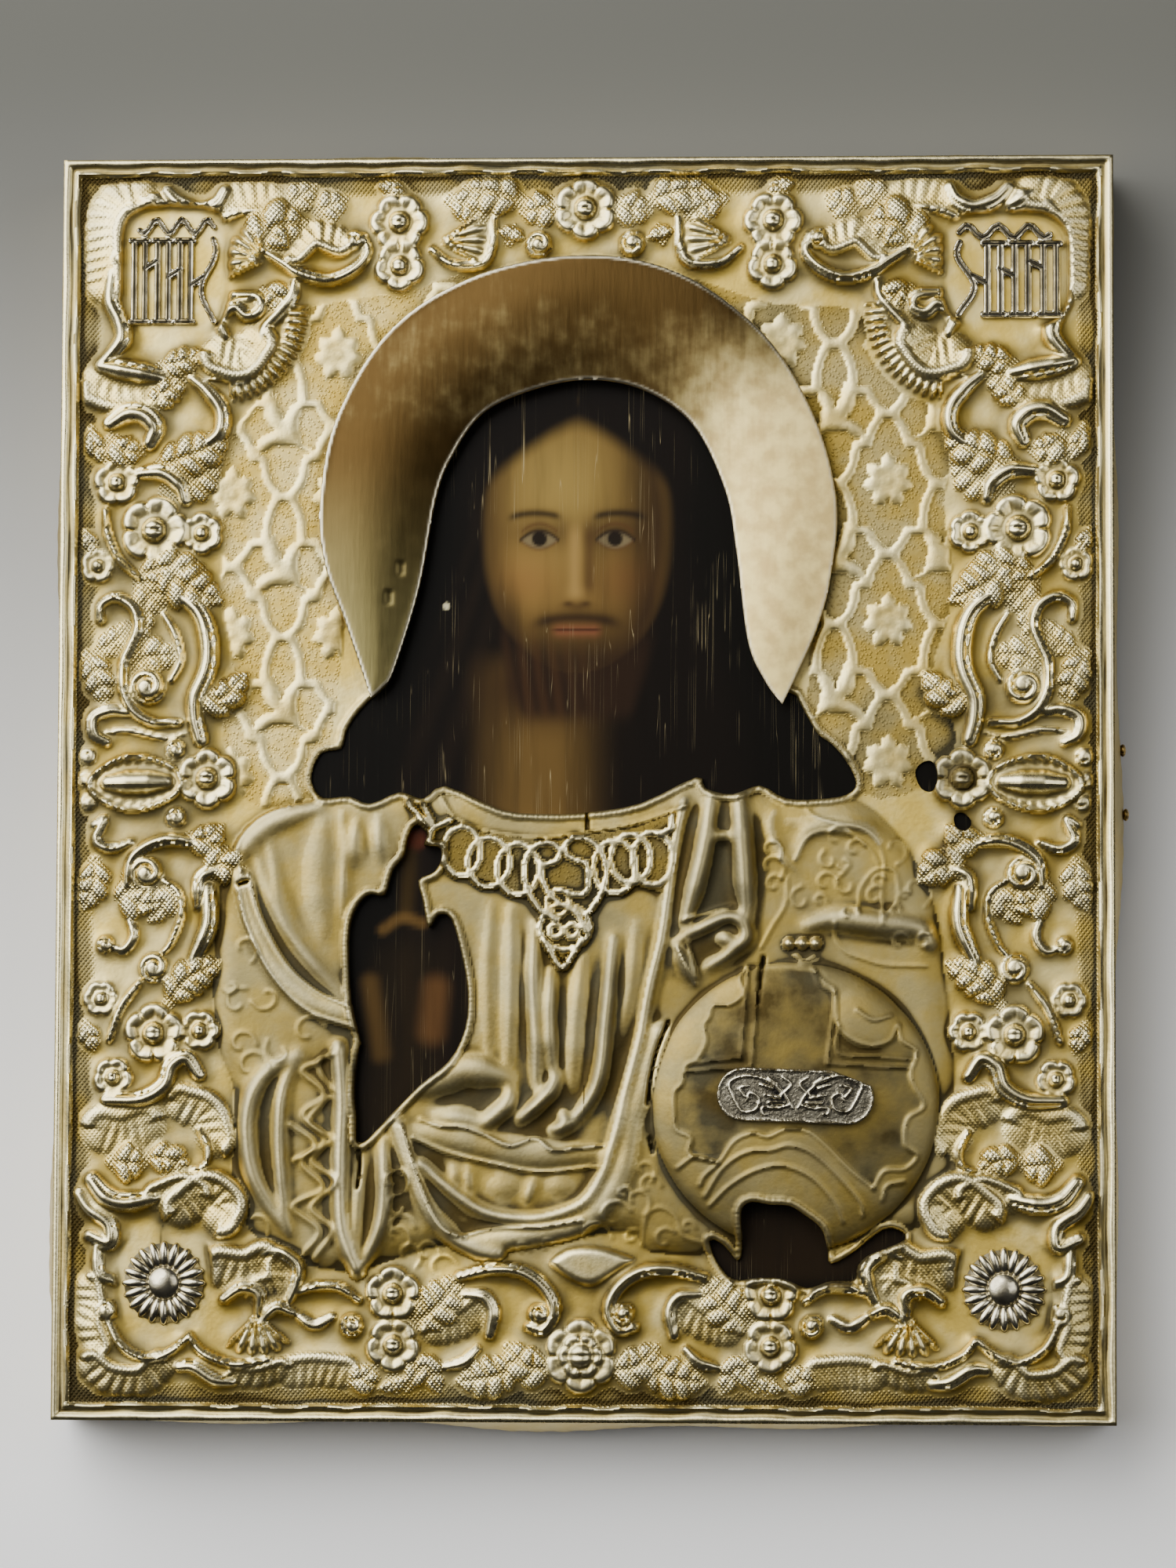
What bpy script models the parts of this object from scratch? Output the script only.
"""Icon panel: a painted wooden board under a chased, parcel-gilt silver cover.

It lies on its back. The origin is the centre of the back, +X runs to the panel's right,
+Y to the top of the picture and +Z out of the picture.

The cover's ornament is one drawing. Its places are (across, up) in percent of the cover's
half width and half height from its centre, and its widths are in percent of the half width.
"""

import math

import bmesh
import bpy
import numpy as np
from mathutils import Vector
from mathutils.geometry import delaunay_2d_cdt

MM = 0.001

# Board.
BOARD_WIDTH = 222.2 * MM
BOARD_HEIGHT = 266.7 * MM
BOARD_THICKNESS = 22.0 * MM
BOARD_EDGE_BEVEL = 0.6 * MM

# Cover sheet.
FIT_GAP = 0.3 * MM
SHEET_THICKNESS = 0.7 * MM
FLANGE_CLEARANCE = 2.0 * MM
FLANGE_BULGE = 2.4 * MM
RIM_WIDTH = 3.0 * MM
RIM_RELIEF = 1.2 * MM
BORDER_RELIEF = 3.8 * MM
FIGURE_RELIEF = 4.2 * MM
ORB_RELIEF = 5.6 * MM
HEM_RELIEF = 0.8 * MM
GRID_STEP = 1.25 * MM
SEAT_MARGIN = 1.8 * MM
COVER_FACES_KEPT = 0.070

# Applied pieces.
HALO_THICKNESS = 0.8 * MM
HALO_LIFT = 2.4 * MM
HALO_CROWN = 1.2 * MM
HALO_OVERLAP = 0.8 * MM
PLATE_THICKNESS = 1.3 * MM
ROSETTE_RADIUS = 8.8 * MM
ROSETTE_RELIEF = 2.2 * MM
ROSETTE_PETALS = 20
PLAQUE_LENGTH = 33.0 * MM
PLAQUE_HEIGHT = 11.2 * MM
PLAQUE_THICKNESS = 0.9 * MM
NAIL_RADIUS = 1.4 * MM
NAIL_RISE = 0.7 * MM

# What follows from them.
COVER_WIDTH = BOARD_WIDTH + 2 * (FIT_GAP + SHEET_THICKNESS)
COVER_HEIGHT = BOARD_HEIGHT + 2 * (FIT_GAP + SHEET_THICKNESS)
SHARE = COVER_WIDTH / 200
UNDERSIDE = BOARD_THICKNESS + FIT_GAP
GROUND = UNDERSIDE + SHEET_THICKNESS
EDGE = np.array([COVER_WIDTH / 2, COVER_HEIGHT / 2])

# Outlines of the cut-outs and of the halo, as (across, up) in percent.
HALO_RIGHT_OUTER = [(-0.1, 84.1), (17.9, 81.1), (33.6, 71.6), (43.3, 58.5), (47.7, 44.7), (46.6, 32.8),
                    (44.2, 25.0), (40.5, 17.8), (37.5, 12.6)]
HALO_RIGHT_INNER = [(34.3, 16.2), (31.0, 22.6), (28.8, 36.8), (26.6, 46.6), (20.5, 56.9), (11.3, 62.4),
                    (1.1, 64.1)]
HALO_LEFT_INNER = [(-8.9, 62.8), (-19.1, 59.0), (-25.2, 51.9), (-28.2, 45.0), (-31.2, 31.1), (-35.9, 18.1),
                   (-38.2, 15.2)]
HALO_LEFT_OUTER = [(-40.3, 13.7), (-45.3, 25.7), (-49.3, 35.1), (-50.2, 45.1), (-46.9, 58.8), (-36.6, 72.6),
                   (-20.2, 81.0)]
FACE_LOWER_EDGE = [(-41.0, 13.3), (-43.4, 11.0), (-45.1, 8.6), (-46.1, 5.8), (-49.8, 5.1), (-51.5, 2.3),
                   (-51.4, -0.1), (-49.3, -2.0), (-44.4, -1.8), (-40.4, -3.0), (-34.9, -1.1), (-30.4, -2.2),
                   (-26.2, -0.1), (-15.3, -4.0), (-6.7, -4.6), (0.9, -4.3), (10.8, -2.9), (21.3, 1.3),
                   (23.1, -0.6), (28.3, -1.5), (33.2, -0.0), (38.3, -2.1), (44.3, -2.2), (49.5, -1.5),
                   (51.4, 0.3), (49.5, 3.8), (46.8, 6.5), (44.3, 8.0), (42.6, 10.2), (40.0, 14.2)]
HAND_EDGE = [(-31.7, -6.3), (-29.6, -7.9), (-30.1, -9.6), (-27.2, -9.9), (-26.8, -11.6), (-28.2, -13.8),
             (-31.1, -15.1), (-30.3, -18.3), (-29.2, -22.5), (-27.4, -20.6), (-24.9, -21.2), (-22.9, -26.8),
             (-21.7, -32.7), (-22.2, -38.6), (-25.3, -43.7), (-30.4, -47.2), (-36.0, -51.9), (-41.9, -56.7),
             (-42.5, -52.3), (-42.9, -47.5), (-42.2, -41.7), (-41.9, -40.4), (-43.6, -34.7), (-44.3, -24.8),
             (-43.3, -20.1), (-40.7, -17.4), (-37.6, -17.4), (-36.1, -13.6), (-33.9, -11.1), (-33.2, -8.4)]
FOOT_EDGE = [(29.9, -67.0), (31.9, -65.5), (35.2, -65.9), (39.0, -66.1), (42.0, -67.6), (44.9, -69.6),
             (46.0, -72.5), (46.7, -75.1), (51.3, -73.1), (56.4, -69.8), (59.2, -69.8), (60.6, -71.2),
             (56.4, -72.8), (53.5, -73.8), (51.6, -75.5), (51.0, -77.5), (46.6, -77.7), (42.3, -78.8),
             (37.6, -77.4), (32.9, -77.3), (28.5, -77.5), (25.5, -74.9), (24.0, -71.4), (26.5, -72.2),
             (29.2, -74.7), (30.2, -72.5)]
ORB_CENTRE = (40.0, -50.4)
ORB_RADIUS = 27.4


def place(point):
    """A place of the drawing, in metres."""
    return np.asarray(point, float) / 100 * EDGE


def curve(points, steps=6, closed=False):
    """A smooth curve through places of the drawing, in metres."""
    p = place(points)
    before, after = (p[-1:], p[:2]) if closed else (2 * p[:1] - p[1:2], 2 * p[-1:] - p[-2:-1])
    q = np.concatenate([before, p, after])
    t = (np.arange(steps) / steps)[:, None]
    out = []
    for i in range(1, len(q) - 2):
        a, b, c, d = q[i - 1], q[i], q[i + 1], q[i + 2]
        out.append(0.5 * (2 * b + (c - a) * t + (2 * a - 5 * b + 4 * c - d) * t**2
                          + (3 * b - a - 3 * c + d) * t**3))
    if not closed:
        out.append(p[-1:])
    return np.concatenate(out)


def nearest(path, x, y):
    """Distance from each point to a path, and how far along the path its nearest place lies."""
    step = np.diff(path, axis=0)
    length = np.maximum(np.hypot(step[:, 0], step[:, 1]), 1e-9)
    start = np.concatenate([[0], np.cumsum(length)])
    dx = x[..., None] - path[:-1, 0]
    dy = y[..., None] - path[:-1, 1]
    t = np.clip((dx * step[:, 0] + dy * step[:, 1]) / length**2, 0, 1)
    gap = np.hypot(dx - t * step[:, 0], dy - t * step[:, 1])
    best = gap.argmin(axis=-1)[..., None]
    along = (start[:-1] + t * length) / start[-1]
    return np.take_along_axis(gap, best, -1)[..., 0], np.take_along_axis(along, best, -1)[..., 0]


def inside(outline, x, y):
    """Whether each point lies inside a closed outline in metres."""
    found = np.zeros(x.shape, bool)
    for a, b in zip(outline, np.roll(outline, -1, axis=0)):
        crosses = (a[1] > y) != (b[1] > y)
        rise = np.where(b[1] == a[1], 1e-12, b[1] - a[1])
        found ^= crosses & (x < (b[0] - a[0]) * (y - a[1]) / rise + a[0])
    return found


class Relief:
    """Heights of the chased sheet above its plain ground, on a grid of points, in metres."""

    def __init__(self):
        columns = math.ceil(COVER_WIDTH / GRID_STEP) + 1
        rows = math.ceil(COVER_HEIGHT / GRID_STEP) + 1
        self.x, self.y = np.meshgrid(
            np.linspace(-EDGE[0], EDGE[0], columns), np.linspace(-EDGE[1], EDGE[1], rows)
        )
        self.height = np.zeros_like(self.x)

    def window(self, low, high):
        """The slices of the grid that cover a box, and the points there."""
        columns = np.searchsorted(self.x[0], [low[0], high[0]])
        rows = np.searchsorted(self.y[:, 0], [low[1], high[1]])
        spot = (slice(rows[0], rows[1] + 1), slice(columns[0], columns[1] + 1))
        return spot, self.x[spot], self.y[spot]

    def raise_to(self, spot, lift):
        self.height[spot] = np.maximum(self.height[spot], lift)

    def ridge(self, points, half, rise, ends=(1, 1), ribs=0, leaf=False, closed=False):
        """A rounded band along a curve: a scroll, fold, stem, leaf or ribbed fringe.

        half and ends are the half width and its share at either end; ribs cross the band.
        """
        path = curve(points, closed=closed)
        if closed:
            path = np.concatenate([path, path[:1]])
        half = max(half * SHARE, 1.05 * GRID_STEP)
        spot, x, y = self.window(path.min(axis=0) - half, path.max(axis=0) + half)
        gap, along = nearest(path, x, y)
        taper = np.interp(along, [0, 0.35, 0.65, 1], [ends[0], 1, 1, ends[1]])
        if leaf:
            taper = np.sin(math.pi * np.clip(0.06 + 0.9 * along, 0, 1)) ** 0.6
        if ribs:
            taper = taper * (0.84 + 0.16 * np.abs(np.cos(math.pi * ribs * along)))
        body = np.sqrt(np.clip(1 - (gap / (half * taper + 1e-9)) ** 2, 0, None))
        self.raise_to(spot, rise * body * np.clip(taper, 0.35, 1))

    def dome(self, centre, radius, rise, squash=1.0, turn=0.0):
        """A boss: round, or an ellipse squashed along one way and turned in degrees."""
        middle = place(centre)
        reach = radius * SHARE
        spot, x, y = self.window(middle - reach, middle + reach)
        cos, sin = math.cos(math.radians(turn)), math.sin(math.radians(turn))
        across = (x - middle[0]) * cos + (y - middle[1]) * sin
        up = ((y - middle[1]) * cos - (x - middle[0]) * sin) / squash
        far = (across**2 + up**2) / reach**2
        self.raise_to(spot, rise * np.sqrt(np.clip(1 - far, 0, None)))

    def flower(self, centre, radius, rise, petals=6, boss=0.42, turn=0.0):
        """A round of cupped petals about a domed boss."""
        middle = place(centre)
        reach = radius * SHARE
        spot, x, y = self.window(middle - reach, middle + reach)
        far = np.hypot(x - middle[0], y - middle[1]) / reach
        angle = np.arctan2(y - middle[1], x - middle[0]) - math.radians(turn)
        petal = np.abs(np.cos(petals * angle / 2))
        edge = 0.74 + 0.26 * petal**0.7
        cup = np.clip(1 - (far / edge) ** 4, 0, None) * (0.45 + 0.55 * far / edge)
        self.raise_to(spot, rise * 0.85 * np.sqrt(cup) * (0.6 + 0.4 * petal**0.5))
        self.dome(centre, radius * boss, rise)

    def fan(self, centre, inner, outer, first, last, rise, ribs):
        """A shell fan between two radii and two angles in degrees, its edge scalloped by its ribs."""
        middle = place(centre)
        reach = outer * SHARE
        spot, x, y = self.window(middle - reach, middle + reach)
        far = np.hypot(x - middle[0], y - middle[1]) / SHARE
        angle = np.degrees(np.arctan2(y - middle[1], x - middle[0]))
        share = ((angle - first) % 360) / ((last - first) % 360)
        rib = np.abs(np.cos(math.pi * ribs * share))
        edge = outer * (0.88 + 0.12 * rib)
        within = (share <= 1) & (far > inner) & (far < edge)
        slope = np.clip((edge - far) / (outer - inner + 1e-9) * 4, 0, 1)
        self.raise_to(spot, np.where(within, rise * np.sqrt(slope) * (0.7 + 0.3 * rib), 0))

    def pad(self, points, rise, soft, smooth=True):
        """A plateau with a soft edge, inside a closed outline of the drawing."""
        outline = curve(points, steps=4, closed=True) if smooth else place(points)
        low, high = outline.min(axis=0), outline.max(axis=0)
        spot, x, y = self.window(low, high)
        ring = np.concatenate([outline, outline[:1]])
        gap = np.where(inside(outline, x, y), nearest(ring, x, y)[0], 0)
        step = np.clip(gap / (soft * SHARE), 0, 1)
        self.raise_to(spot, rise * step * (2 - step))


def mirrored(points):
    """The same places on the other side of the panel's middle line."""
    if isinstance(points[0], tuple):
        return [(-across, up) for across, up in points]
    return (-points[0], points[1])


# Half of the border's ornament, from the top of the panel down its left side to the foot.
# Scrolls, folds, stems and leaves: places, half width, share of the relief, kind.
PLAIN, LEAF, FRINGE = "plain", "leaf", "fringe"
BANDS = [
    ([(-91.8, 79.7), (-92.1, 84.9), (-92.0, 89.7), (-89.6, 93.3), (-85.3, 94.1)], 2.6, 0.6, FRINGE),
    ([(-84.4, 93.7), (-81.0, 92.1)], 2.2, 0.7, PLAIN),
    ([(-80.1, 94.9), (-77.7, 92.9), (-73.8, 91.7), (-70.5, 92.8), (-69.1, 94.8)], 1.8, 0.75, PLAIN),
    ([(-68.1, 93.6), (-63.8, 93.8), (-59.5, 93.2)], 2.2, 0.4, FRINGE),
    ([(-72.8, 89.2), (-67.1, 91.2), (-60.4, 92.0)], 0.9, 0.5, PLAIN),
    ([(-90.4, 81.7), (-90.6, 77.3), (-88.9, 74.1), (-88.3, 71.3), (-90.2, 68.9),
      (-92.6, 66.9)], 1.9, 0.8, PLAIN),
    ([(-92.1, 66.9), (-88.8, 66.3), (-84.9, 65.7), (-81.1, 65.1)], 2.3, 0.95, PLAIN),
    ([(-93.5, 63.7), (-89.2, 62.5), (-83.0, 62.9)], 2.7, 0.5, FRINGE),
    ([(-81.1, 66.9), (-77.3, 67.3), (-73.0, 68.8)], 1.8, 0.8, LEAF),
    ([(-73.5, 64.4), (-69.2, 64.8), (-65.3, 64.0), (-62.0, 66.4), (-60.9, 70.0)], 0.9, 0.6, PLAIN),
    ([(-69.7, 68.4), (-65.4, 67.6), (-62.6, 70.4)], 2.8, 0.8, FRINGE),
    ([(-68.8, 71.6), (-70.0, 74.4), (-66.9, 76.2), (-64.5, 74.8), (-62.1, 75.6), (-62.7, 77.6),
      (-67.0, 78.0)],
     1.5, 0.8, PLAIN),
    ([(-55.5, 80.0), (-56.0, 77.6), (-58.3, 75.2), (-61.2, 72.4), (-61.6, 69.6)], 1.5, 0.75, PLAIN),
    ([(-61.7, 78.8), (-59.3, 78.0), (-57.8, 75.2)], 1.8, 0.85, LEAF),
    ([(-62.3, 85.2), (-59.4, 88.8), (-53.7, 89.6)], 3.3, 0.95, LEAF),
    ([(-61.3, 85.2), (-57.5, 83.2), (-54.6, 81.6), (-49.3, 80.5), (-44.6, 81.9), (-41.7, 84.7),
      (-42.5, 87.3)],
     1.4, 0.85, PLAIN),
    ([(-55.6, 85.2), (-51.8, 87.9), (-47.0, 86.7)], 2.0, 0.7, FRINGE),
    ([(-57.1, 92.4), (-51.9, 95.6)], 1.9, 0.35, LEAF),
    ([(-51.4, 91.5), (-46.1, 93.5)], 1.9, 0.35, LEAF),
    ([(-74.9, 64.9), (-72.0, 62.8), (-69.3, 59.6), (-69.5, 56.1), (-72.8, 53.7)], 1.7, 0.8, PLAIN),
    ([(-82.5, 59.7), (-80.1, 62.5), (-76.3, 64.5)], 1.8, 0.7, LEAF),
    ([(-90.5, 57.7), (-87.2, 59.3), (-83.9, 58.9), (-81.9, 56.9), (-82.9, 54.5)], 2.2, 0.85, PLAIN),
    ([(-90.5, 55.3), (-88.1, 53.3), (-84.3, 52.9)], 2.0, 0.7, LEAF),
    ([(-81.4, 50.5), (-76.2, 52.1), (-72.4, 53.3), (-68.6, 55.7)], 2.6, 0.85, LEAF),
    ([(-79.9, 46.9), (-74.2, 48.9), (-69.9, 51.3)], 2.8, 0.5, LEAF),
    ([(-94.3, 57.0), (-93.3, 53.8), (-90.9, 51.4)], 1.2, 0.5, LEAF),
    ([(-84.7, 49.7), (-80.4, 49.7), (-77.0, 47.7), (-76.1, 45.3)], 1.8, 0.8, PLAIN),
    ([(-91.3, 43.7), (-90.8, 40.1), (-88.3, 35.7), (-84.5, 32.9)], 1.0, 0.7, PLAIN),
    ([(-95.5, 40.5), (-93.1, 36.5)], 1.0, 0.45, LEAF),
    ([(-84.9, 33.3), (-78.3, 34.7), (-72.1, 33.3)], 2.2, 0.75, LEAF),
    ([(-80.7, 34.9), (-75.9, 31.7), (-69.7, 29.3)], 2.9, 0.85, LEAF),
    ([(-84.9, 32.9), (-82.5, 30.1), (-80.1, 27.7)], 2.3, 0.45, LEAF),
    ([(-92.0, 26.2), (-92.0, 28.6), (-89.2, 29.8), (-85.8, 28.2), (-84.8, 25.0), (-86.2, 21.8),
      (-87.4, 19.4),
      (-87.5, 15.5), (-85.6, 11.9), (-81.8, 9.9), (-77.0, 9.9)], 1.3, 0.75, PLAIN),
    ([(-82.5, 28.1), (-83.9, 24.6), (-84.8, 21.4)], 1.0, 0.45, LEAF),
    ([(-80.1, 27.3), (-77.7, 23.8), (-76.7, 19.8), (-78.5, 16.6)], 0.9, 0.45, PLAIN),
    ([(-86.6, 18.2), (-83.3, 20.2), (-77.6, 20.6)], 2.4, 0.5, LEAF),
    ([(-76.8, 30.1), (-73.4, 27.7), (-71.7, 24.5), (-71.2, 20.6), (-71.9, 17.4), (-73.7, 13.8),
      (-73.7, 10.3),
      (-72.7, 7.1)], 2.1, 0.95, PLAIN),
    ([(-72.3, 15.4), (-69.0, 13.4), (-64.5, 17.4)], 2.0, 0.85, LEAF),
    ([(-94.8, 20.6), (-92.8, 17.9), (-90.8, 13.1)], 1.9, 0.6, LEAF),
    ([(-92.9, 21.0), (-89.1, 23.0), (-86.7, 25.8)], 1.7, 0.35, LEAF),
    ([(-90.7, 6.8), (-93.1, 8.0), (-93.2, 10.7), (-89.9, 11.9), (-86.5, 11.5)], 1.4, 0.6, PLAIN),
    ([(-91.2, 8.3), (-86.5, 8.7), (-79.4, 7.5), (-75.6, 8.3)], 0.8, 0.3, PLAIN),
    ([(-89.7, 0.4), (-84.0, 0.4), (-77.4, 0.6)], 2.4, 0.95, LEAF),
    ([(-92.9, -6.3), (-91.0, -5.5), (-92.4, -8.7), (-89.6, -10.1), (-85.8, -9.1)], 1.2, 0.6, PLAIN),
    ([(-75.3, -8.5), (-71.5, -8.7), (-68.7, -6.8)], 2.0, 0.75, LEAF),
    ([(-71.9, -14.2), (-68.2, -12.7), (-63.4, -14.9)], 2.4, 0.8, LEAF),
    ([(-72.5, -9.5), (-78.2, -8.7), (-82.9, -9.9), (-85.7, -12.2), (-86.4, -15.8)], 1.4, 0.75, PLAIN),
    ([(-86.6, -14.3), (-85.6, -17.9), (-82.8, -19.1), (-79.5, -18.7), (-81.8, -21.4)], 2.2, 0.6, LEAF),
    ([(-79.5, -15.1), (-76.6, -17.1), (-76.1, -20.6), (-78.0, -25.0), (-79.4, -26.5)], 0.9, 0.6, PLAIN),
    ([(-72.8, -19.1), (-72.4, -14.7), (-69.1, -13.2)], 1.6, 0.8, PLAIN),
    ([(-71.0, -16.3), (-70.9, -22.2), (-73.7, -27.7)], 1.9, 0.9, PLAIN),
    ([(-92.8, -11.9), (-92.8, -15.5), (-94.6, -19.4)], 1.9, 0.5, LEAF),
    ([(-86.1, -21.0), (-85.1, -23.8), (-86.9, -26.1), (-89.3, -25.7)], 1.1, 0.5, PLAIN),
    ([(-84.0, -31.3), (-87.3, -35.2), (-89.6, -40.3)], 1.0, 0.6, PLAIN),
    ([(-78.3, -34.4), (-75.0, -30.9), (-68.9, -28.1)], 2.3, 0.8, LEAF),
    ([(-94.4, -37.5), (-92.4, -41.9)], 1.3, 0.45, LEAF),
    ([(-89.9, -49.7), (-83.3, -49.5), (-79.1, -47.4), (-77.7, -44.3), (-74.9, -43.1),
      (-72.5, -45.8)], 1.9, 0.85, PLAIN),
    ([(-90.3, -54.4), (-87.0, -54.8), (-83.2, -53.7)], 3.2, 0.4, FRINGE),
    ([(-75.7, -50.2), (-71.0, -51.7), (-69.0, -55.7)], 2.6, 0.45, FRINGE),
    ([(-75.1, -60.9), (-71.3, -60.0), (-70.7, -57.2), (-72.3, -54.5)], 0.9, 0.6, PLAIN),
    ([(-88.8, -59.5), (-82.7, -59.9)], 2.4, 0.65, LEAF),
    ([(-82.2, -58.8), (-77.5, -59.2), (-74.6, -61.1)], 1.9, 0.75, LEAF),
    ([(-92.6, -62.3), (-89.7, -65.0), (-85.9, -65.8), (-80.7, -65.0)], 2.2, 0.95, PLAIN),
    ([(-80.2, -65.0), (-75.5, -63.5), (-72.7, -64.3)], 2.0, 0.7, FRINGE),
    ([(-75.5, -66.6), (-70.8, -63.9), (-67.0, -65.8), (-67.9, -68.2)], 2.7, 0.7, FRINGE),
    ([(-95.0, -64.5), (-93.0, -66.8), (-89.2, -69.2), (-89.2, -72.3), (-93.0, -71.1)], 1.7, 0.7, PLAIN),
    ([(-91.5, -72.7), (-91.0, -77.0), (-88.1, -78.2)], 1.4, 0.6, PLAIN),
    ([(-92.9, -79.0), (-92.3, -82.1), (-92.8, -84.8), (-91.3, -88.3)], 1.8, 0.5, FRINGE),
    ([(-89.5, -84.0), (-86.6, -88.3), (-81.8, -90.3), (-77.6, -89.3), (-73.9, -86.8)], 1.1, 0.75, PLAIN),
    ([(-73.9, -86.8), (-71.0, -89.5), (-65.3, -91.1), (-58.7, -90.3)], 1.1, 0.75, PLAIN),
    ([(-92.2, -91.5), (-88.9, -93.4), (-83.2, -93.8), (-79.5, -91.5)], 2.1, 0.6, FRINGE),
    ([(-75.7, -91.5), (-72.9, -91.5), (-69.1, -93.4), (-65.8, -93.8)], 1.6, 0.7, PLAIN),
    ([(-64.8, -93.0), (-61.1, -93.1), (-56.4, -91.9)], 1.5, 0.5, FRINGE),
    ([(-54.5, -92.3), (-50.2, -91.9), (-44.6, -92.3)], 2.2, 0.35, FRINGE),
    ([(-67.3, -80.9), (-64.1, -79.2), (-60.7, -80.0), (-60.7, -83.3)], 1.5, 0.9, PLAIN),
    ([(-60.2, -84.1), (-57.4, -82.1), (-54.6, -82.9)], 1.4, 0.9, PLAIN),
    ([(-55.1, -81.0), (-53.7, -78.2), (-53.7, -75.5), (-57.1, -73.5), (-59.9, -73.9)], 1.6, 0.85, PLAIN),
    ([(-60.3, -79.8), (-57.0, -78.6), (-56.6, -75.9)], 2.3, 0.6, FRINGE),
    ([(-67.9, -75.9), (-63.2, -76.3), (-59.9, -75.1)], 2.8, 0.7, FRINGE),
    ([(-54.1, -80.0), (-50.4, -79.0), (-45.7, -79.0), (-41.9, -81.0)], 1.1, 0.7, PLAIN),
    ([(-53.6, -83.3), (-50.3, -84.9), (-47.0, -83.7)], 1.3, 0.5, PLAIN),
    ([(-44.1, -93.8), (-40.8, -93.1), (-38.9, -91.5)], 1.9, 0.5, LEAF),
    ([(-35.6, -93.1), (-34.7, -95.4)], 1.9, 0.4, LEAF),
    ([(-31.4, -84.7), (-26.7, -81.6), (-23.2, -77.7)], 2.8, 0.6, LEAF),
    ([(-23.0, -77.3), (-16.9, -76.1), (-11.2, -76.5), (-7.0, -78.9), (-5.1, -82.4), (-6.9, -85.5),
      (-9.8, -85.1)],
     1.5, 0.85, PLAIN),
    ([(-22.0, -80.0), (-18.3, -80.4), (-16.6, -82.7), (-17.3, -86.3)], 1.5, 0.6, PLAIN),
    ([(-27.2, -85.5), (-22.5, -84.3), (-19.2, -82.4)], 2.2, 0.4, FRINGE),
    ([(-5.5, -91.7), (-10.2, -91.3), (-14.0, -88.2)], 2.4, 0.6, LEAF),
    ([(-12.1, -91.3), (-16.7, -92.9), (-22.9, -93.7)], 2.5, 0.6, LEAF),
    ([(-32.7, -94.8), (-29.5, -91.3), (-26.6, -95.2)], 1.7, 0.5, LEAF),
    ([(-25.2, -91.3), (-21.9, -90.5), (-19.6, -88.6)], 1.3, 0.6, PLAIN),
    ([(-5.6, 92.9), (-8.9, 91.7), (-12.2, 91.4)], 2.2, 0.55, LEAF),
    ([(-12.7, 93.0), (-17.0, 94.2), (-23.0, 95.0)], 2.8, 0.65, LEAF),
    ([(-29.4, 85.4), (-25.5, 83.0), (-19.8, 83.0), (-17.9, 85.8), (-17.5, 90.2)], 1.1, 0.6, PLAIN),
    ([(-14.6, 86.6), (-13.7, 89.0)], 1.6, 0.55, LEAF),
    ([(-26.1, 93.4), (-22.3, 92.2), (-19.4, 89.4)], 2.0, 0.5, LEAF),
    ([(-37.6, 93.9), (-36.6, 96.7)], 1.6, 0.5, LEAF),
]

# Flowers: centre, radius, share of the relief, petals, turn in degrees.
FLOWERS = [
    ((-89.2, 48.2), 4.6, 0.8, 5, 20),
    ((-81.9, 40.5), 6.8, 1.0, 5, 0),
    ((-72.9, 40.0), 4.2, 0.85, 6, 30),
    ((-92.8, 34.9), 3.4, 0.6, 5, 10),
    ((-71.4, 1.0), 5.9, 1.0, 6, 30),
    ((-91.3, -33.8), 3.5, 0.6, 6, 0),
    ((-81.1, -39.3), 5.9, 1.0, 5, 90),
    ((-72.5, -38.8), 4.0, 0.8, 6, 0),
    ((-88.8, -46.2), 3.9, 0.85, 5, 60),
    ((-35.5, -80.0), 5.4, 0.95, 5, 90),
    ((-35.4, -88.0), 5.3, 0.85, 5, -90),
    ((-35.6, 89.7), 5.8, 0.9, 6, 0),
    ((-35.5, 82.7), 5.0, 0.85, 5, -90),
]

# Round bosses and the balls of volutes: centre, radius, share of the relief.
BALLS = [
    ((-87.4, 91.9), 1.8, 0.6), ((-89.0, 84.1), 2.1, 0.75), ((-87.8, 80.5), 1.9, 0.6),
    ((-44.1, 86.7), 2.1, 0.85), ((-83.0, 15.6), 3.6, 0.8), ((-77.4, 5.5), 2.1, 0.6),
    ((-77.3, -5.2), 2.1, 0.6), ((-94.3, 4.4), 1.9, 0.35), ((-94.5, 0.8), 1.9, 0.35),
    ((-93.9, -2.7), 1.9, 0.35), ((-82.8, -14.0), 3.4, 0.8), ((-90.5, -25.3), 1.8, 0.6),
    ((-81.2, -28.9), 3.0, 0.6), ((-89.7, -82.9), 2.4, 0.65), ((-43.2, -84.9), 2.3, 0.85),
    ((-7.9, -83.1), 2.2, 0.9), ((-8.9, 86.1), 2.6, 0.75),
]

# Shell fans: centre, inner and outer radius, first and last angle, share of the relief, ribs.
FANS = [
    ((-70.3, 75.2), 12.5, 17.6, -80, 5, 0.55, 15),
    ((-60.8, 83.6), 1.0, 8.2, 108, 205, 0.85, 5),
    ((-61.2, -82.9), 1.0, 8.8, 228, 318, 0.75, 5),
    ((-28.4, 86.6), 1.0, 10.5, -28, 32, 0.5, 4),
]


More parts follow.
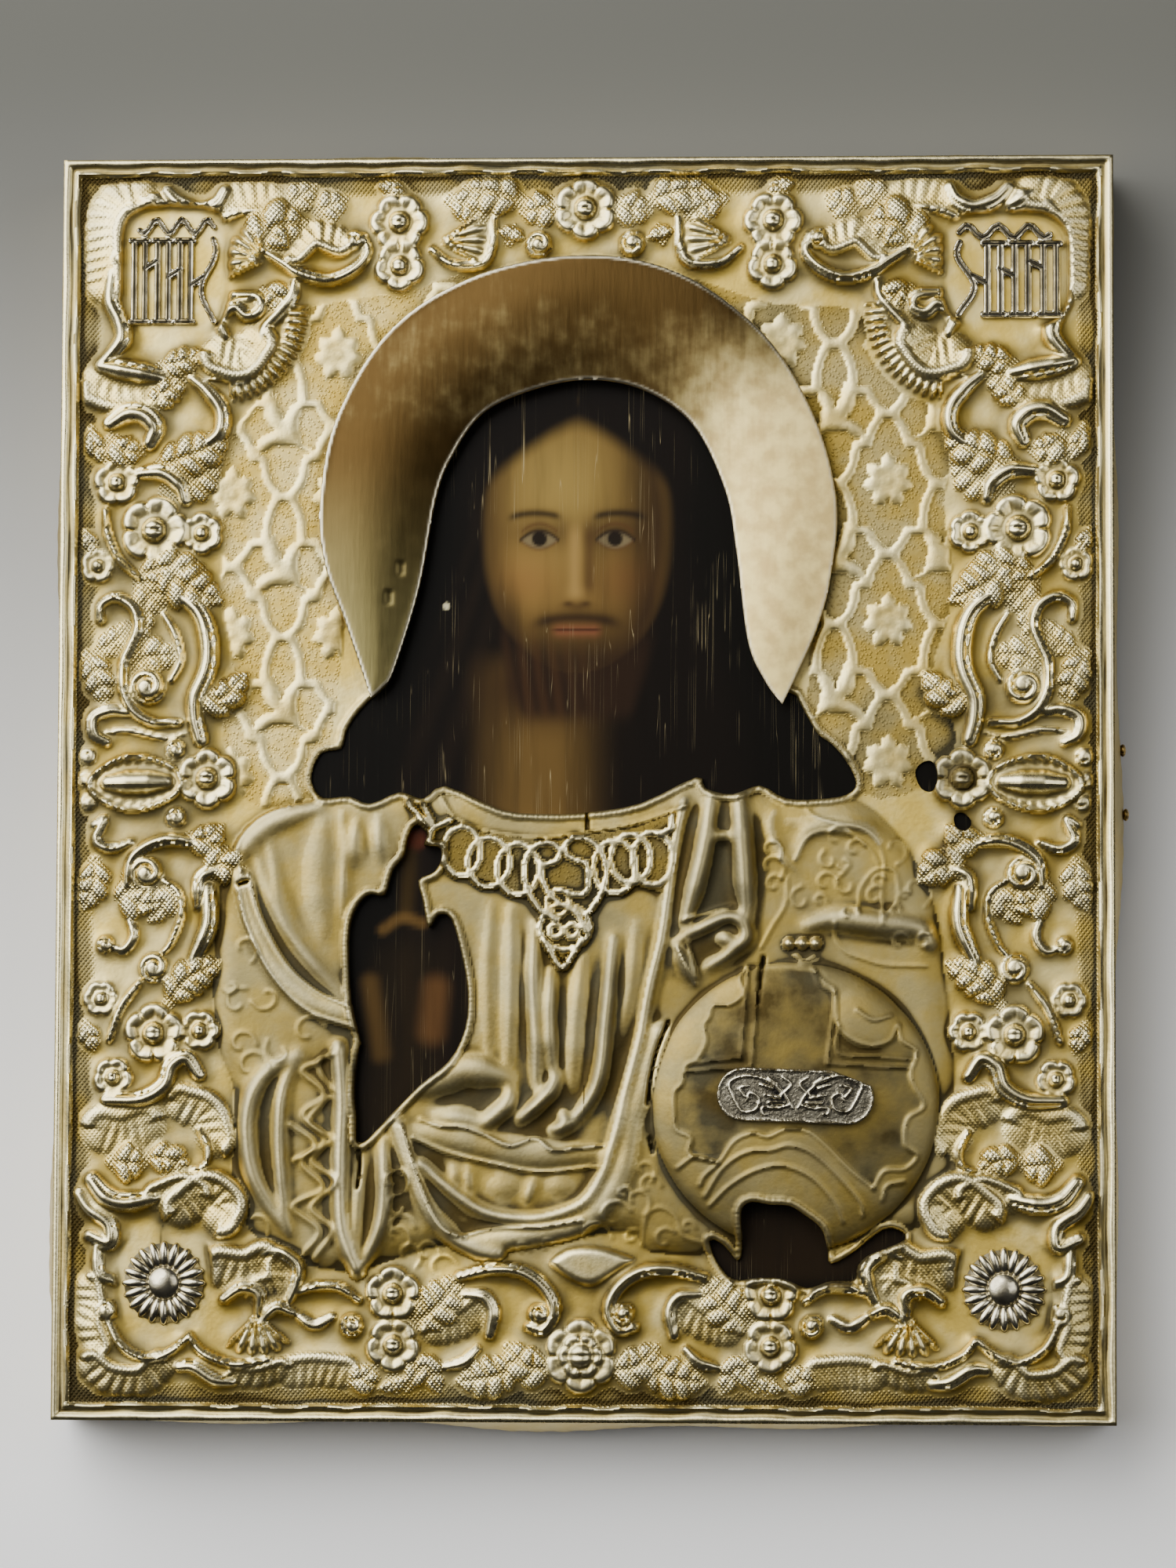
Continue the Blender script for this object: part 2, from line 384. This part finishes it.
def chase_border(relief):
    """The rococo border: one half drawn, and the other half its mirror image."""
    for turned in (False, True):
        side = mirrored if turned else (lambda points: points)
        for points, half, share, kind in BANDS:
            ribs = round(len(points) * 2.5) if kind == FRINGE else 0
            ends = (1, 1) if kind == FRINGE else (0.75, 0.75)
            relief.ridge(side(points), half, share * BORDER_RELIEF, ends, ribs, kind == LEAF)
        for centre, radius, share, petals, turn in FLOWERS:
            angle = 180 - turn if turned else turn
            relief.flower(side(centre), radius, share * BORDER_RELIEF, petals, turn=angle)
        for centre, radius, share in BALLS:
            relief.dome(side(centre), radius, share * BORDER_RELIEF)
        for centre, inner, outer, first, last, share, ribs in FANS:
            if turned:
                first, last = 180 - last, 180 - first
            relief.fan(side(centre), inner, outer, first, last, share * BORDER_RELIEF, ribs)
        relief.ridge(side([(-93.0, 0.0), (-86.4, 3.8), (-78.3, 2.0), (-78.3, -1.2), (-86.3, -3.3)]),
                     1.1, 0.6 * BORDER_RELIEF, closed=True)
    relief.flower((-0.1, 91.7), 6.2, 0.95 * BORDER_RELIEF, 8, turn=90)
    relief.flower((-0.1, -89.6), 7.2, 0.9 * BORDER_RELIEF, 8, turn=90)
    relief.pad([(-6.6, -75.0), (-3.3, -72.6), (1.0, -72.0), (5.7, -72.6), (10.4, -74.6), (5.7, -77.7),
                (1.5, -79.1), (-3.2, -77.7)], 0.55 * BORDER_RELIEF, 2.0)


# Folds of the robe: places, half width and share of the relief.
FOLDS = [
    ([(-49.8, -3.4), (-59.5, -6.4), (-65.4, -11.4), (-66.1, -15.1)], 2.2, 0.55),
    ([(-63.9, -13.2), (-59.3, -23.1), (-51.8, -32.4), (-41.8, -38.0)], 2.6, 0.75),
    ([(-59.5, -8.9), (-55.3, -23.1), (-42.8, -35.8)], 1.4, 0.6),
    ([(-45.4, -4.6), (-45.3, -13.3), (-46.7, -21.9), (-44.4, -31.8)], 1.8, 0.55),
    ([(-41.3, -4.0), (-41.5, -10.8), (-40.9, -15.2)], 1.6, 0.55),
    ([(-61.3, -42.9), (-62.9, -53.9), (-61.8, -62.6), (-56.5, -72.4)], 3.0, 0.85),
    ([(-54.6, -42.3), (-56.5, -49.0), (-55.9, -61.3), (-52.8, -73.6)], 1.5, 0.6),
    ([(-42.8, -40.4), (-45.0, -46.6), (-44.1, -58.9), (-44.7, -68.7), (-43.2, -74.8)], 2.2, 0.8),
    ([(-38.9, -55.2), (-39.1, -66.3), (-41.4, -75.5)], 1.6, 0.6),
    ([(-34.8, -52.8), (-30.7, -63.8), (-24.0, -70.6), (-15.1, -73.7)], 1.6, 0.65),
    ([(-27.1, -54.0), (-21.2, -55.2), (-13.8, -55.9), (-7.8, -56.5), (2.5, -55.3)], 2.4, 0.55),
    ([(-31.5, -58.9), (-24.0, -65.1), (-15.1, -67.8), (-6.3, -67.5), (1.1, -63.9), (4.7, -57.7)], 1.6, 0.7),
    ([(-23.0, -18.3), (-18.5, -28.2), (-17.6, -38.0), (-21.3, -45.4), (-29.4, -49.1)], 2.0, 0.6),
    ([(-15.6, -15.8), (-12.8, -28.2), (-11.2, -40.5), (-11.6, -49.1)], 1.8, 0.8),
    ([(-8.1, -26.3), (-6.5, -36.8), (-7.9, -46.7), (-11.6, -52.8)], 2.2, 0.95),
    ([(-0.7, -24.5), (-1.4, -35.6), (0.2, -45.5), (-2.0, -52.8)], 2.0, 0.95),
    ([(5.9, -19.6), (4.5, -30.7), (5.3, -40.5), (3.2, -49.1)], 1.8, 0.85),
    ([(18.4, -4.8), (16.2, -13.4), (13.4, -24.5), (10.5, -36.9), (8.4, -49.2), (4.0, -60.2)], 2.2, 0.9),
    ([(23.6, -3.6), (22.9, -11.0), (20.7, -18.4), (17.4, -26.4)], 2.6, 1.0),
    ([(28.0, -3.6), (29.6, -11.0), (30.4, -19.7)], 2.6, 0.8),
    ([(17.4, -28.3), (20.0, -22.7), (25.2, -26.4), (29.6, -20.3), (31.1, -24.0)], 1.5, 0.85),
    ([(35.4, -2.4), (39.2, -6.1), (46.6, -7.4), (52.5, -11.1)], 1.6, 0.4),
    ([(42.2, -24.0), (49.6, -20.9), (58.5, -21.0), (65.9, -23.4)], 2.6, 0.75),
    ([(-22.3, -2.2), (-15.7, -5.4), (-3.8, -6.5), (8.0, -5.6), (19.6, -0.6)], 2.0, 0.75),
]
BODY = [(-49.6, -2.1), (-61.8, -5.2), (-67.6, -12.0), (-69.7, -24.3), (-69.5, -39.2), (-65.7, -49.0),
        (-65.5, -65.0), (-58.0, -73.6), (-43.1, -76.3), (-26.9, -72.4), (-9.2, -72.4), (8.5, -70.0),
        (17.4, -73.7), (64.5, -68.9), (69.6, -49.3), (68.1, -30.8), (65.8, -18.5), (59.9, -8.6),
        (51.0, -2.2), (37.7, -1.8), (21.3, 1.1), (0.6, -3.5), (-21.7, -1.0), (-36.5, -0.9)]
COLLAR_RINGS = [(-22.8, -10.3), (-18.3, -12.1), (-13.3, -13.9), (7.5, -13.4), (12.7, -11.5)]


def chase_figure(relief):
    """The half-length robed figure: body, folds, ringed collar and pendant, cuff and orb."""
    relief.pad(BODY, 0.34 * FIGURE_RELIEF, 4.0)
    for points, half, share in FOLDS:
        relief.ridge(points, half, share * FIGURE_RELIEF, ends=(0.7, 0.7))
    for centre in COLLAR_RINGS:
        relief.dome(centre, 3.4, 0.6 * FIGURE_RELIEF)
    relief.pad([(-11.5, -9.7), (-5.0, -8.2), (1.5, -9.7), (0.7, -18.3), (-3.9, -29.7), (-8.2, -18.3)],
               0.72 * FIGURE_RELIEF, 1.6)
    relief.ridge([(-51.7, -41.7), (-50.0, -55.2), (-49.1, -72.4)], 5.0, 0.75 * FIGURE_RELIEF)
    relief.dome(ORB_CENTRE, ORB_RADIUS, 0.5 * ORB_RELIEF)
    relief.raise_to(..., orb_height(relief.x, relief.y))
    relief.dome((41.3, -26.1), 4.0, 0.62 * ORB_RELIEF)


def orb_height(x, y):
    """Height of the orb's dome above the ground, nought outside it."""
    middle = place(ORB_CENTRE)
    far = np.hypot(x - middle[0], y - middle[1]) / (ORB_RADIUS * SHARE)
    return ORB_RELIEF * np.sqrt(np.clip(1 - far**2, 0, None)) ** 0.7


def chase_rim(relief):
    """The double moulding along the outer edge of the front."""
    edge = np.minimum(EDGE[0] - np.abs(relief.x), EDGE[1] - np.abs(relief.y))
    for middle in (0.5 * GRID_STEP, RIM_WIDTH):
        bead = np.clip(1 - np.abs(edge - middle) / (1.1 * GRID_STEP), 0, None)
        relief.raise_to(..., RIM_RELIEF * np.sqrt(bead))


def halo_outline():
    """The crescent's outline in metres, counter-clockwise from the left tip round the inner edge."""
    outer = curve(HALO_LEFT_OUTER + HALO_RIGHT_OUTER, steps=3)
    tips = HALO_RIGHT_OUTER[-1:], HALO_LEFT_OUTER[:1]
    inner = curve(tips[0] + HALO_RIGHT_INNER + HALO_LEFT_INNER + tips[1], steps=3)
    return np.concatenate([outer, inner[1:-1]])


def grown(outline, by):
    """The outline moved outwards along its normals."""
    along = np.roll(outline, -1, axis=0) - np.roll(outline, 1, axis=0)
    length = np.hypot(along[:, 0], along[:, 1])[:, None]
    turn = np.cross(outline, np.roll(outline, -1, axis=0)).sum()
    normal = np.stack([along[:, 1], -along[:, 0]], axis=1) / length * math.copysign(1, turn)
    return outline + normal * by


def face_outline():
    """The cut-out for head and hair: just under the halo's rim, and its own edge below the tips."""
    inner = curve(HALO_RIGHT_INNER + HALO_LEFT_INNER, steps=3)
    out = inner - inner.mean(axis=0)
    inner += out / np.hypot(out[:, 0], out[:, 1])[:, None] * HALO_OVERLAP
    return np.concatenate([inner, place(FACE_LOWER_EDGE)])


def chase_cover():
    """The whole front of the cover, as heights above its ground."""
    relief = Relief()
    chase_border(relief)
    chase_figure(relief)
    halo = halo_outline()
    under = inside(grown(halo, 0.8 * MM), relief.x, relief.y)
    seat = HALO_LIFT - FIT_GAP
    relief.height[under] = np.minimum(relief.height[under], seat)
    relief.height[inside(grown(halo, -1.5 * MM), relief.x, relief.y)] = seat
    for outline in (face_outline(), place(HAND_EDGE), place(FOOT_EDGE)):
        ring = np.concatenate([outline, outline[:1]])
        gap = nearest(ring, relief.x, relief.y)[0]
        hem = relief.height + HEM_RELIEF * np.clip(1 - gap / (1.6 * GRID_STEP), 0, 1)
        relief.height = np.where(under, relief.height, hem)
    for centre, reach in APPLIED_SEATS:
        off_x, off_y = np.abs(np.stack([relief.x, relief.y], axis=-1) - place(centre)).transpose(2, 0, 1)
        far = (off_x / (reach[0] + SEAT_MARGIN)) ** 4 + (off_y / (reach[1] + SEAT_MARGIN)) ** 4
        relief.height[far < 1] = 0
    chase_rim(relief)
    return relief


# Seats kept plain under the applied plates and rosettes: centre, half width and half height.
PLATE_LEFT = (-78.4, 82.2)
PLATE_LEFT_REACH = (9.6 * MM, 12.0 * MM)
PLATE_RIGHT = (79.7, 81.7)
PLATE_RIGHT_REACH = (11.6 * MM, 10.4 * MM)
ROSETTE_LEFT = (-78.8, -78.5)
ROSETTE_RIGHT = (79.1, -79.0)
ROSETTE_REACH = (ROSETTE_RADIUS, ROSETTE_RADIUS)
APPLIED_SEATS = [
    (PLATE_LEFT, PLATE_LEFT_REACH),
    (PLATE_RIGHT, PLATE_RIGHT_REACH),
    (ROSETTE_LEFT, ROSETTE_REACH),
    (ROSETTE_RIGHT, ROSETTE_REACH),
]
PLAQUE_CENTRE = (40.1, -49.0)
PLAQUE_TURN = -2.0

# Nails in the bent edges: side of the panel and place up, in percent.
NAILS = {
    "nail_left_upper": (-1, 7.8),
    "nail_left_lower": (-1, 2.1),
    "nail_right_upper": (1, 6.1),
    "nail_right_lower": (1, -4.1),
}
NAIL_HEIGHT = 12.5 * MM

# Tears in the crushed flower at the right: places round each hole.
TEARS = [
    [(62.5, 2.0), (63.7, 3.5), (65.8, 3.7), (66.7, 1.2), (65.7, -1.0), (63.6, -0.5)],
    [(69.8, -4.9), (71.4, -4.3), (73.1, -5.7), (72.2, -7.2), (70.3, -6.8)],
]

GILT = ((0.62, 0.53, 0.30), 0.34, 1.0)
HALO_GILT = ((0.45, 0.37, 0.22), 0.28, 1.0)
SILVER = ((0.56, 0.54, 0.50), 0.38, 1.0)
PAINTED_WOOD = ((0.20, 0.13, 0.07), 0.45, 0.0)
STEEL = ((0.32, 0.27, 0.18), 0.45, 1.0)


def material(name, look):
    """A Principled material with a colour, a roughness and a metallic value."""
    colour, roughness, metallic = look
    made = bpy.data.materials.new(name)
    made.use_nodes = True
    shader = made.node_tree.nodes["Principled BSDF"]
    shader.inputs["Base Color"].default_value = (*colour, 1)
    shader.inputs["Roughness"].default_value = roughness
    shader.inputs["Metallic"].default_value = metallic
    return made


def add_object(name, mesh, look=None):
    """Puts a mesh into the scene as one object, with its own material."""
    made = bpy.data.objects.new(name, mesh)
    bpy.context.scene.collection.objects.link(made)
    if look:
        mesh.materials.append(material(name, look))
    return made


def mesh_from(name, points, faces):
    """A mesh from points and faces, its normals turned outwards."""
    mesh = bpy.data.meshes.new(name)
    mesh.from_pydata([tuple(map(float, p)) for p in points], [], [tuple(map(int, f)) for f in faces])
    shape = bmesh.new()
    shape.from_mesh(mesh)
    bmesh.ops.recalc_face_normals(shape, faces=shape.faces)
    shape.to_mesh(mesh)
    shape.free()
    return mesh


def dent(x, y):
    """How far the bent edge bulges outwards at each place along it, none at the corners."""
    on_side = EDGE[0] - np.abs(x) < EDGE[1] - np.abs(y)
    along = np.where(on_side, y / EDGE[1], x / EDGE[0])
    start = np.where(on_side, 1.3 * np.sign(x), 2.3 + 0.9 * np.sign(y))
    swell = 0.45 + 0.35 * np.sin(5.1 * along + start) + 0.3 * np.sin(11.7 * along + 2 * start)
    corner = np.hypot(EDGE[0] - np.abs(x), EDGE[1] - np.abs(y)) / (0.12 * COVER_WIDTH)
    return FLANGE_BULGE * np.clip(swell, 0.05, 1) * np.clip(corner, 0, 1)


def wall_ring(points, depth, inner):
    """The bent edge at one depth: 0 at the front, 1 at its free end."""
    x, y = points[:, 0], points[:, 1]
    push = dent(x, y) * math.sin(math.pi * min(0.8 * depth, 0.5))
    on_side = EDGE[0] - np.abs(x) < EDGE[1] - np.abs(y)
    limit = EDGE - (SHEET_THICKNESS if inner else 0)
    ring = np.clip(points[:, :2], -limit, limit)
    ring[:, 0] += np.where(on_side, np.sign(x) * push, 0)
    ring[:, 1] += np.where(on_side, 0, np.sign(y) * push)
    top = UNDERSIDE if inner else GROUND
    height = top + depth * (FLANGE_CLEARANCE - top)
    return np.column_stack([ring, np.full(len(ring), height)])


def cover_mesh(relief):
    """The sheet as a closed mesh: chased front, bent and dented edges, flat underside."""
    rows, columns = relief.x.shape
    front = np.column_stack([relief.x.ravel(), relief.y.ravel(), GROUND + relief.height.ravel()])
    index = np.arange(rows * columns).reshape(rows, columns)
    quads = np.stack([index[:-1, :-1], index[:-1, 1:], index[1:, 1:], index[1:, :-1]], axis=-1)
    loop = np.concatenate([index[0, :-1], index[:-1, -1], index[-1, :0:-1], index[:0:-1, 0]])
    edge = front[loop]
    depths = [(0.15, False), (0.4, False), (0.7, False), (1.0, False), (1.0, True), (0.5, True),
    (0.0, True)]
    rings = [wall_ring(edge, depth, inner) for depth, inner in depths]
    points = np.concatenate([front] + rings)
    faces = list(quads.reshape(-1, 4))
    above = loop
    for number in range(len(rings)):
        below = rows * columns + number * len(loop) + np.arange(len(loop))
        faces += list(np.stack([above, below, np.roll(below, -1), np.roll(above, -1)], axis=-1))
        above = below
    faces.append(above[::-1])
    return mesh_from("cover", points, faces)


def prism(name, outline, low, high):
    """A closed prism over an outline in metres, used as a cutter."""
    count = len(outline)
    points = [(*p, low) for p in outline] + [(*p, high) for p in outline]
    sides = [(i, (i + 1) % count, count + (i + 1) % count, count + i) for i in range(count)]
    faces = [tuple(range(count)), tuple(range(count, 2 * count)), *sides]
    made = add_object(name, mesh_from(name, points, faces))
    made.hide_render = True
    made.display_type = "WIRE"
    return made


def build_cover():
    """The chased cover: relief, then a lighter mesh of it, then its cut-outs and tears."""
    cover = add_object("cover", cover_mesh(chase_cover()), GILT)
    lighter = cover.modifiers.new("fewer faces", "DECIMATE")
    lighter.ratio = COVER_FACES_KEPT
    outlines = {"face": face_outline(), "hand": place(HAND_EDGE), "foot": place(FOOT_EDGE)}
    for number, tear in enumerate(TEARS):
        outlines[f"tear_{number}"] = place(tear)
    ceiling = GROUND + ORB_RELIEF + BORDER_RELIEF
    for name, outline in outlines.items():
        cut = cover.modifiers.new(name, "BOOLEAN")
        cut.operation = "DIFFERENCE"
        cut.object = prism(f"cut_{name}", outline, UNDERSIDE - SHEET_THICKNESS, ceiling)
    return cover


def build_board():
    """The wooden board, its edges slightly eased."""
    shape = bmesh.new()
    bmesh.ops.create_cube(shape, size=1)
    bmesh.ops.scale(shape, vec=(BOARD_WIDTH, BOARD_HEIGHT, BOARD_THICKNESS), verts=shape.verts)
    mesh = bpy.data.meshes.new("icon_board")
    shape.to_mesh(mesh)
    shape.free()
    board = add_object("icon_board", mesh, PAINTED_WOOD)
    board.location.z = BOARD_THICKNESS / 2
    eased = board.modifiers.new("eased edges", "BEVEL")
    eased.width = BOARD_EDGE_BEVEL
    return board


def sheet_piece(name, outlines, spacing, height, thickness, look):
    """A thin piece: the union of flat outlines, lifted by a height function, then given thickness."""
    corners, loops = [], []
    for outline in outlines:
        loops.append(list(range(len(corners), len(corners) + len(outline))))
        corners += [tuple(p) for p in outline]
    flat = np.array(corners)
    low, high = flat.min(axis=0), flat.max(axis=0)
    if spacing:
        across, up = np.meshgrid(np.arange(low[0], high[0], spacing), np.arange(low[1], high[1], spacing))
        far = [nearest(np.concatenate([o, o[:1]]), across, up)[0] for o in outlines]
        clear = np.min(far, axis=0) > spacing / 2
        corners += list(zip(across[clear], up[clear]))
    points, _, faces, *_ = delaunay_2d_cdt([Vector(p) for p in corners], [], loops, 0, 1e-7)
    middles = np.array([[sum(points[i].x for i in f) / 3, sum(points[i].y for i in f) / 3] for f in faces])
    wanted = np.any([inside(o, middles[:, 0], middles[:, 1]) for o in outlines], axis=0)
    faces = [f for f, keep in zip(faces, wanted) if keep]
    used = sorted({i for f in faces for i in f})
    number = {old: new for new, old in enumerate(used)}
    flat = np.array([tuple(points[i]) for i in used])
    lifted = np.column_stack([flat, height(flat[:, 0], flat[:, 1])])
    mesh = bpy.data.meshes.new(name)
    mesh.from_pydata([tuple(map(float, p)) for p in lifted], [], [[number[i] for i in f] for f in faces])
    made = add_object(name, mesh, look)
    thick = made.modifiers.new("thickness", "SOLIDIFY")
    thick.thickness = thickness
    thick.offset = -1
    return made


def build_halo():
    """The crescent of plain sheet above and beside the face, slightly crowned across its width."""
    outline = halo_outline()
    ring = np.concatenate([outline, outline[:1]])
    shoulder = 0.05 * COVER_WIDTH

    def height(x, y):
        rise = np.clip(nearest(ring, x, y)[0] / shoulder, 0, 1)
        return GROUND + HALO_LIFT + HALO_THICKNESS + HALO_CROWN * rise * (2 - rise)

    return sheet_piece("halo", [outline], 0.03 * COVER_WIDTH, height, HALO_THICKNESS, HALO_GILT)


def stroke(path, half):
    """The outline of a flat bar along an open path."""
    along = np.gradient(path, axis=0)
    normal = np.stack([-along[:, 1], along[:, 0]], axis=1) / np.hypot(along[:, 0], along[:, 1])[:, None]
    return np.concatenate([path - normal * half, (path + normal * half)[::-1]])


def build_title_plate(name, centre, reach):
    """An openwork plate: slim uprights between two rails, under a waved ribbon."""
    middle, reach = place(centre), np.array(reach) * 0.94
    bar = 0.07 * reach[0]
    outlines = []
    for across in (-0.9, -0.45, 0, 0.45, 0.9):
        top = 0.62 + 0.1 * math.cos(3 * across)
        outlines.append(stroke(middle + reach * [[across, -0.92], [across, top]], bar))
    for up in (-0.9, -0.15, 0.6):
        outlines.append(stroke(middle + reach * [[-0.97, up], [0.97, up]], bar))
    t = np.linspace(-1, 1, 17)
    wave = middle + reach * np.column_stack([0.85 * t, 0.78 + 0.14 * np.sin(3 * math.pi * t)])
    outlines.append(stroke(wave, bar))

    def height(x, y):
        return np.full_like(x, GROUND + FIT_GAP + PLATE_THICKNESS)

    return sheet_piece(name, outlines, 0, height, PLATE_THICKNESS, SILVER)


def build_plaque():
    """The small plaque with rounded ends, bent to the orb's dome, one corner cut away."""
    turn = math.radians(PLAQUE_TURN)
    half, radius = PLAQUE_LENGTH / 2, PLAQUE_HEIGHT / 2
    shape = []
    for side, angles in ((1, (-90, -60, -30, 0, 30)), (-1, (90, 120, 150, 180, 210, 240, 270))):
        for angle in map(math.radians, angles):
            x = side * (half - radius) + radius * math.cos(angle)
            shape.append((x, radius * math.sin(angle)))
    shape.insert(5, (half - 1.6 * radius, radius))
    outline = np.array([(x * math.cos(turn) - y * math.sin(turn), x * math.sin(turn) + y * math.cos(turn))
                        for x, y in shape]) + place(PLAQUE_CENTRE)

    def height(x, y):
        return GROUND + orb_height(x, y) + 2 * FIT_GAP + PLAQUE_THICKNESS

    return sheet_piece("orb_plaque", [outline], PLAQUE_HEIGHT / 3, height, PLAQUE_THICKNESS, SILVER)


def build_rosette(name, centre):
    """A round of gadroons about a dome, turned out of one sheet."""
    profile = [(0.16, 0.95, 0.95), (0.30, 0.72, 0.72), (0.36, 0.35, 0.35), (0.50, 0.62, 0.30),
               (0.84, 0.70, 0.25), (0.98, 0.30, 0.12), (0.98, 0.0, 0.0)]
    sectors = 2 * ROSETTE_PETALS
    middle = place(centre)
    floor = GROUND + FIT_GAP
    points = [(*middle, floor + ROSETTE_RELIEF)]
    for share, crest, valley in profile:
        for k in range(sectors):
            angle = math.pi * k / ROSETTE_PETALS
            radius = ROSETTE_RADIUS * share * (1 if k % 2 == 0 or share < 0.5 else 0.95)
            height = floor + ROSETTE_RELIEF * (crest if k % 2 == 0 else valley)
            points.append((middle[0] + radius * math.cos(angle),
                           middle[1] + radius * math.sin(angle), height))
    faces = [(0, 1 + k, 1 + (k + 1) % sectors) for k in range(sectors)]
    for ring in range(len(profile) - 1):
        a, b = 1 + ring * sectors, 1 + (ring + 1) * sectors
        faces += [(a + k, b + k, b + (k + 1) % sectors, a + (k + 1) % sectors) for k in range(sectors)]
    last = 1 + (len(profile) - 1) * sectors
    faces.append(tuple(range(last, last + sectors)))
    return add_object(name, mesh_from(name, points, faces), SILVER)


def build_nail(name, side, up):
    """A domed nail head on the outside of one bent edge."""
    shape = bmesh.new()
    bmesh.ops.create_uvsphere(shape, u_segments=10, v_segments=6, radius=NAIL_RADIUS)
    everything = list(shape.verts) + list(shape.edges) + list(shape.faces)
    bmesh.ops.bisect_plane(shape, geom=everything, plane_co=(0, 0, 0), plane_no=(0, 0, 1), clear_inner=True)
    bmesh.ops.holes_fill(shape, edges=[e for e in shape.edges if e.is_boundary])
    bmesh.ops.scale(shape, vec=(1, 1, NAIL_RISE / NAIL_RADIUS), verts=shape.verts)
    bmesh.ops.recalc_face_normals(shape, faces=shape.faces)
    mesh = bpy.data.meshes.new(name)
    shape.to_mesh(mesh)
    shape.free()
    mesh.shade_smooth()
    nail = add_object(name, mesh, STEEL)
    x = np.array([side * EDGE[0]])
    y = np.array([up / 100 * EDGE[1]])
    nail.location = (side * (EDGE[0] + float(dent(x, y)[0]) + FIT_GAP), float(y[0]), NAIL_HEIGHT)
    nail.rotation_euler.y = side * math.pi / 2
    return nail


def main():
    for old in list(bpy.data.objects):
        bpy.data.objects.remove(old, do_unlink=True)
    build_board()
    build_cover()
    build_halo()
    build_title_plate("title_plate_left", PLATE_LEFT, PLATE_LEFT_REACH)
    build_title_plate("title_plate_right", PLATE_RIGHT, PLATE_RIGHT_REACH)
    build_rosette("rosette_left", ROSETTE_LEFT)
    build_rosette("rosette_right", ROSETTE_RIGHT)
    build_plaque()
    for name, (side, up) in NAILS.items():
        build_nail(name, side, up)


main()
